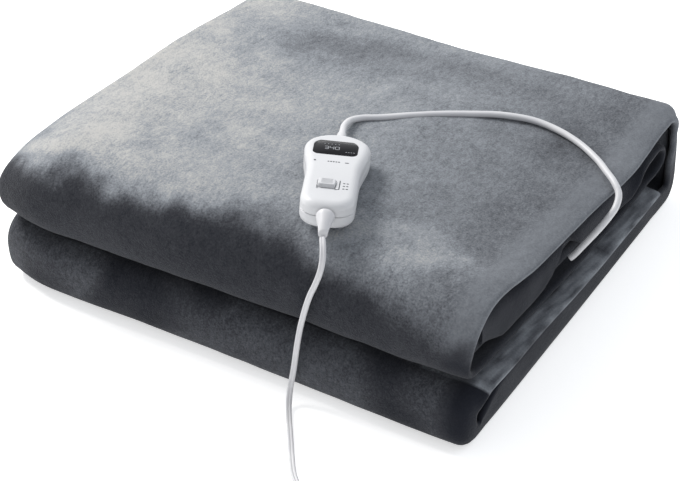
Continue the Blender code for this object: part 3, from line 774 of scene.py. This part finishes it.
in_place = control_matrix()
outline = control_outline()
top = layered("control_top_shell", outline,
              [(SEAM_N + GAP, 0.0004), (SEAM_N + 2 * GAP, 0.0), (SHOULDER_N, 0.0002),
               *rounded_edge(SHOULDER_N, TOP_N, 0.0075, 12)], housing.material)
base = layered("control_base_shell", outline,
               [*rounded_edge(FOOT_N, 0.0003, 0.0065, 8)[::-1], (FOOT_N, 0.0), (SEAM_N - GAP, 0.0),
                (SEAM_N, 0.0004)], housing.material)


# ---- window ------------------------------------------------------------------------------
# A dark polished window set in the far half of the top, its far side arched. Pale bars
# and dots show the heat and the time.
WINDOW_MIDDLE = (-0.0012, 0.0252)
WINDOW_SIZE = (0.0375, 0.0220)
WINDOW_ARCH = 0.0060
WINDOW_DEPTH = 0.0010
INK = 0.00012           # how far a mark stands off
CUT_ABOVE = 0.002       # how far a cutter reaches past the face


def window_outline(grow):
    """A rounded rectangle whose far side is an arch."""
    width, length = WINDOW_SIZE[0] + 2 * grow, WINDOW_SIZE[1] + 2 * grow
    points = rounded_rectangle(width, length, 0.0050 + grow)
    for p in points:
        if p.y > 0.0:
            p.y += WINDOW_ARCH * (1.0 - (2.0 * p.x / width) ** 2)
    return points


window_glass = Finish("window_black", Base_Color=(0.008, 0.008, 0.010, 1.0), Roughness=0.14,
                      Specular_IOR_Level=0.20)
lit_mark = Finish("window_marks", Base_Color=(0.34, 0.35, 0.37, 1.0), Roughness=0.5)
pocket_cut = layered("window_pocket", window_outline(GAP),
                     [(TOP_N - WINDOW_DEPTH, 0.0), (TOP_N + CUT_ABOVE, 0.0)],
                     housing.material, WINDOW_MIDDLE)
subtract(top, pocket_cut)
window = layered("control_window", window_outline(0.0),
                 [(TOP_N - WINDOW_DEPTH + GAP, 0.0), (TOP_N - 0.0002, 0.0), (TOP_N, 0.0003)],
                 window_glass.material, WINDOW_MIDDLE)


def joined(name, parts, material, height, low_n=TOP_N):
    """Flat marks joined in one mesh: each is (u, v, width, length, turn)."""
    verts, faces = [], []
    for u, v, width, length, turn in parts:
        base_index = len(verts)
        shape = rounded_rectangle(width, length, min(width, length) * 0.49, 3)
        for n in (low_n, low_n + height):
            for p in shape:
                c, s = math.cos(math.radians(turn)), math.sin(math.radians(turn))
                verts.append((u + p.x * c - p.y * s, v + p.x * s + p.y * c, n))
        count = len(shape)
        faces.append(tuple(base_index + k for k in range(count)))
        faces.append(tuple(base_index + count + k for k in range(count)))
        for k in range(count):
            a, b = base_index + k, base_index + (k + 1) % count
            faces.append((a, b, b + count, a + count))
    return solid(name, verts, faces, material)


# A digit's bars, as places across and up from its middle, and a turn
SEGMENTS = [
    (0.0, 1.0, 0), (0.5, 0.5, 90), (0.5, -0.5, 90), (0.0, -1.0, 0), (-0.5, -0.5, 90),
    (-0.5, 0.5, 90), (0.0, 0.0, 0),
]
# each digit's u, and which of its bars are lit
DIGITS = [(-0.0092, (0, 1, 2, 3, 6)), (-0.0046, (1, 2, 5, 6)), (0.0000, (0, 1, 2, 3, 4, 5))]
DIGIT_V = 0.0262
DIGIT_WIDTH = 0.0032
DIGIT_HALF_HEIGHT = 0.0024
BAR_LENGTH = 0.0024
BAR_WIDTH = 0.0006
window_rows = []
for digit_u, lit in DIGITS:
    for k in lit:
        across, up, turn = SEGMENTS[k]
        bar_u = digit_u + DIGIT_WIDTH * across
        bar_v = DIGIT_V + DIGIT_HALF_HEIGHT * up
        window_rows.append((bar_u, bar_v, BAR_LENGTH, BAR_WIDTH, float(turn)))
window_rows += [(0.0080 + 0.0022 * k, 0.0205, 0.0014, 0.0006, 0.0) for k in range(4)]
window_rows += [(-0.0110 + 0.0030 * k, 0.0330, 0.0009, 0.0009, 0.0) for k in range(5)]
window_marks = joined("window_marks", window_rows, lit_mark.material, INK)


# ---- heat slide ---------------------------------------------------------------------------
# A ribbed knob in a shallow recess, with a printed scale beside it. A printed line runs
# around the near half of the face. The place of the maker's name stays bare.
SLIDE_MIDDLE_U = -0.0030
RECESS_V = (-0.0465, -0.0302)
RECESS_WIDTH = 0.0158
RECESS_DEPTH = 0.0014
KNOB_SIZE = (0.0150, 0.0114)
KNOB_PROUD = 0.0024
KNOB_RIBS = 5
RIB_SIZE = (0.0092, 0.0007)
RIB_PITCH = 0.0016

recess_middle = (SLIDE_MIDDLE_U, sum(RECESS_V) / 2)
recess = layered("slide_recess", rounded_rectangle(RECESS_WIDTH, RECESS_V[1] - RECESS_V[0], 0.0015),
                 [(TOP_N - RECESS_DEPTH, 0.0), (TOP_N + CUT_ABOVE, 0.0)],
                 housing.material, recess_middle)
subtract(top, recess)

knob_v = RECESS_V[1] - GAP - KNOB_SIZE[1] / 2
knob = layered("slide_knob", rounded_rectangle(*KNOB_SIZE, 0.0024),
               [(TOP_N - RECESS_DEPTH + GAP, 0.0), (TOP_N + 0.6 * KNOB_PROUD, 0.0003),
                (TOP_N + 0.9 * KNOB_PROUD, 0.0008), (TOP_N + KNOB_PROUD, 0.0016)],
               housing.material, (SLIDE_MIDDLE_U, knob_v))
rib_rows = [(SLIDE_MIDDLE_U, knob_v + RIB_PITCH * (k - (KNOB_RIBS - 1) / 2), *RIB_SIZE, 0.0)
            for k in range(KNOB_RIBS)]
ribs = joined("knob_ribs", rib_rows, housing.material, 0.0004, TOP_N + KNOB_PROUD - 0.0001)
print_ink = Finish("print_grey", Base_Color=(0.05, 0.055, 0.065, 1.0), Roughness=0.6)
prints = [(0.0112 + 0.0028 * (k % 2), RECESS_V[0] + 0.0030 + 0.0046 * (k // 2), 0.0020, 0.0012, 0.0)
          for k in range(6)]
prints += [(0.0076, -0.0376, 0.0008, 0.0150, 0.0), (0.0060, -0.0454, 0.0040, 0.0008, 18.0),
           (-0.0165, 0.0020, 0.0020, 0.0020, 0.0), (0.0102, 0.0014, 0.0034, 0.0011, 0.0)]
prints += [(-0.0052 + 0.0022 * k, 0.0018, 0.0016, 0.0015, 0.0) for k in range(5)]
printed = joined("printed_marks", prints, print_ink.material, INK)

settle_on(top, in_place, "housing", "controller_top")
settle_on(base, in_place, "housing", "controller_base")
settle_on(window, in_place, "window", "display_window")
settle_on(window_marks, in_place, "housing")
settle_on(printed, in_place, "window")
settle_on(knob, in_place, "housing", "heat_slider", body="slider")
settle_on(ribs, in_place, "housing", body="slider")


# ---- collars and plug ---------------------------------------------------------------------
# Soft tapered collars moulded on the leads where they enter the control, and a flat plug
# with two round plated pins, moulded on the mains lead.
NEAR_COLLAR = [(-0.0716, 0.0130, 0.0078), (-0.0740, 0.0128, 0.0072), (-0.0785, 0.0116, 0.0058),
               (-0.0835, 0.0096, 0.0046), (-0.0885, 0.0066, 0.0038)]
FAR_COLLAR = [(0.0570, 0.0120, 0.0056), (0.0620, 0.0117, 0.0052), (0.0710, 0.0110, 0.0045),
              (0.0800, 0.0102, 0.0039)]
PLUG_PLACE = Vector((0.1040, -0.4115, 0.0))
PLUG_TURN_DEG = 30.4
PLUG_LENGTH = 0.0353
PLUG_WIDTH = 0.0300
PLUG_HEIGHT = 0.0137
PIN_SPACING = 0.0190
PIN_RADIUS = 0.0020
PIN_LENGTH = 0.0190
# along the plug, then its share of the full width and height
PLUG_RINGS = [
    (-0.5, 0.36, 0.62), (-0.30, 0.46, 0.72), (-0.16, 0.66, 0.82), (-0.02, 0.90, 0.92),
    (0.06, 1.00, 1.00), (0.46, 1.00, 1.00), (0.49, 0.97, 0.94), (0.50, 0.93, 0.86),
]
PLUG_CORNER = 0.0038
# how far each of a pin's rings is from its tip, then its share of the radius
PIN_RINGS = [(PIN_LENGTH, 1.0), (0.0012, 1.0), (0.0004, 0.86), (0.0, 0.60)]


def collar(name, table):
    """Rings from the housing outwards, smooth between the table's rows."""
    middles = smooth_route([(0.0, v, n) for v, n, _ in table], 5)
    radii = [p.z for p in smooth_route([(0.0, v, radius) for v, _, radius in table], 5)]
    rings = []
    for middle, radius in zip(middles, radii):
        rings.append([middle + Vector((radius * a, 0.0, radius * b)) for a, b in round_section(1.0, 28)])
    return loft(name, rings, jacket.material, 60.0)


mains_collar = settle_on(collar("mains_collar", NEAR_COLLAR), in_place,
                         "lead_jacket", "mains_strain_relief")
blanket_collar = settle_on(collar("blanket_lead_collar", FAR_COLLAR), in_place,
                           "lead_jacket", "lead_gland")

plug_turn = Matrix.Rotation(math.radians(PLUG_TURN_DEG), 4, "Z")
plug_place = Matrix.Translation(PLUG_PLACE + STACK_SHIFT) @ plug_turn
rings = []
for v, width_share, height_share in PLUG_RINGS:
    shape = rounded_rectangle(PLUG_WIDTH * width_share, PLUG_HEIGHT * height_share,
                              PLUG_CORNER * height_share)
    rings.append([Vector((p.x, v * PLUG_LENGTH, PLUG_HEIGHT / 2 + p.y)) for p in shape])
plug = settle_on(loft("plug", rings, housing.material), plug_place, "lead_jacket", "plug_body")

plated = Finish("pin_plating", Base_Color=(0.78, 0.76, 0.72, 1.0), Metallic=1.0)
plated.put("Roughness", 0.20 + 0.15 * plated.noise(plated.place(), 300.0, 2.0))
for name, side in (("plug_pin_left", -1.0), ("plug_pin_right", 1.0)):
    rings = []
    start = PLUG_LENGTH / 2 + GAP
    for short, share in PIN_RINGS:
        v = start + PIN_LENGTH - short
        rings.append([Vector((side * PIN_SPACING / 2 + a, v, PLUG_HEIGHT / 2 + b))
                      for a, b in round_section(PIN_RADIUS * share, 24)])
    settle_on(loft(name + "_round", rings, plated.material), plug_place, "pins", name)


# ---- floor, wall and light ----------------------------------------------------------------
# It lies on a white sweep. A soft light stands on the left, and a weaker, cooler one fills
# in from behind on the right.
sweep_white = Finish("sweep_white", Base_Color=(0.88, 0.88, 0.88, 1.0), Roughness=0.8,
                     Emission_Color=(1.0, 1.0, 1.0, 1.0), Emission_Strength=0.55)
FLOOR_HALF = 30.0
FLOOR_Z = -0.0005
WORLD_STRENGTH = 0.62
LIGHT_AIM = Vector((0.0, 0.0, 0.06))
floor = link("sweep", bpy.data.meshes.new("sweep"))
corner_signs = [(-1, -1), (1, -1), (1, 1), (-1, 1)]
floor_corners = [(FLOOR_HALF * a, FLOOR_HALF * b, FLOOR_Z) for a, b in corner_signs]
floor.data.from_pydata(floor_corners, [], [(0, 1, 2, 3)])
floor.data.materials.append(sweep_white.material)

world = bpy.data.worlds.new("surround")
world.use_nodes = True
background = world.node_tree.nodes["Background"]
background.inputs["Color"].default_value = (0.95, 0.97, 1.0, 1.0)
background.inputs["Strength"].default_value = WORLD_STRENGTH
scene.world = world

LIGHTS = [
    ("key", (-1.40, 0.10, 1.55), 0.8, 46.0, (1.0, 0.985, 0.965)),
    ("fill", (1.30, 0.90, 1.40), 1.6, 7.0, (0.82, 0.90, 1.0)),
]
for name, place, size, power, colour in LIGHTS:
    data = bpy.data.lights.new(name, "AREA")
    data.size = size
    data.energy = power
    data.color = colour
    lamp = link(name, data)
    lamp.location = place
    lamp.rotation_euler = (LIGHT_AIM - Vector(place)).to_track_quat("-Z", "Y").to_euler()
